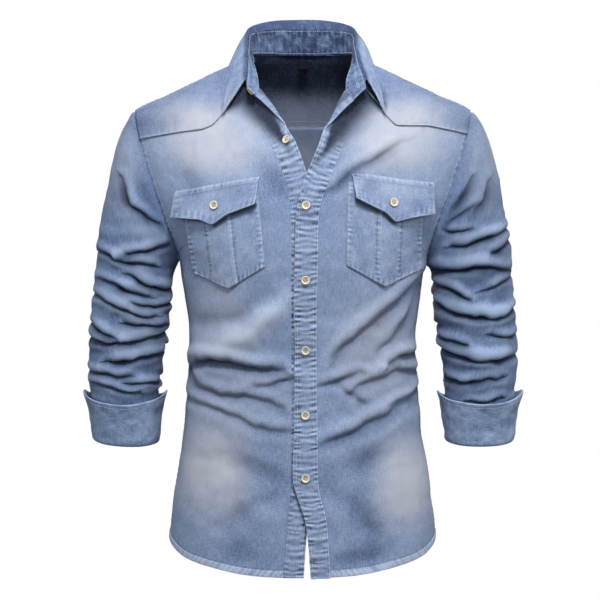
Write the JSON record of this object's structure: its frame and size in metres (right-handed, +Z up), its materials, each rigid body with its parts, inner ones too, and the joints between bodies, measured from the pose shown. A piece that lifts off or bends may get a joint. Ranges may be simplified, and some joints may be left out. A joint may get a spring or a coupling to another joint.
{
  "type": "denim shirt",
  "caption": "Slim long-sleeved washed denim shirt in worn form: open pointed collar, buttoned front, flap chest pockets, shoulder yokes and turned-back cuffs.",
  "frame": {"origin": "middle of the neck opening, level with the neck points of the shoulder seams, where the wearer holds the shirt up", "axes": "+Z up along the body, -Y out of the shirt front, +X to the wearer's left"},
  "size_m": [0.6003, 0.2405, 0.7525],
  "materials": {
    "denim_body": "stonewashed light blue twill with pale faded areas",
    "denim_sleeve": "stonewashed mid blue twill",
    "button": "satin cream four-hole buttons with a browner rim",
    "label": "plain black woven tab"
  },
  "bodies": {
    "root": {"front_left": "denim_body", "front_right": "denim_body", "placket_top": "denim_body", "placket_under": "denim_body", "back": "denim_body", "back_yoke": "denim_body", "front_yoke_left": "denim_body", "front_yoke_right": "denim_body", "collar_stand": "denim_body", "collar_leaf": "denim_body", "pocket_left": "denim_body", "pocket_right": "denim_body", "flap_left": "denim_body", "flap_right": "denim_body", "sleeve_left": "denim_sleeve", "sleeve_right": "denim_sleeve", "cuff_left": "denim_sleeve", "cuff_right": "denim_sleeve", "button_1": "button", "button_2": "button", "button_3": "button", "button_4": "button", "button_5": "button", "button_6": "button", "button_collar": "button", "button_pocket_left": "button", "button_pocket_right": "button", "neck_label": "label"}
  },
  "joints": []
}
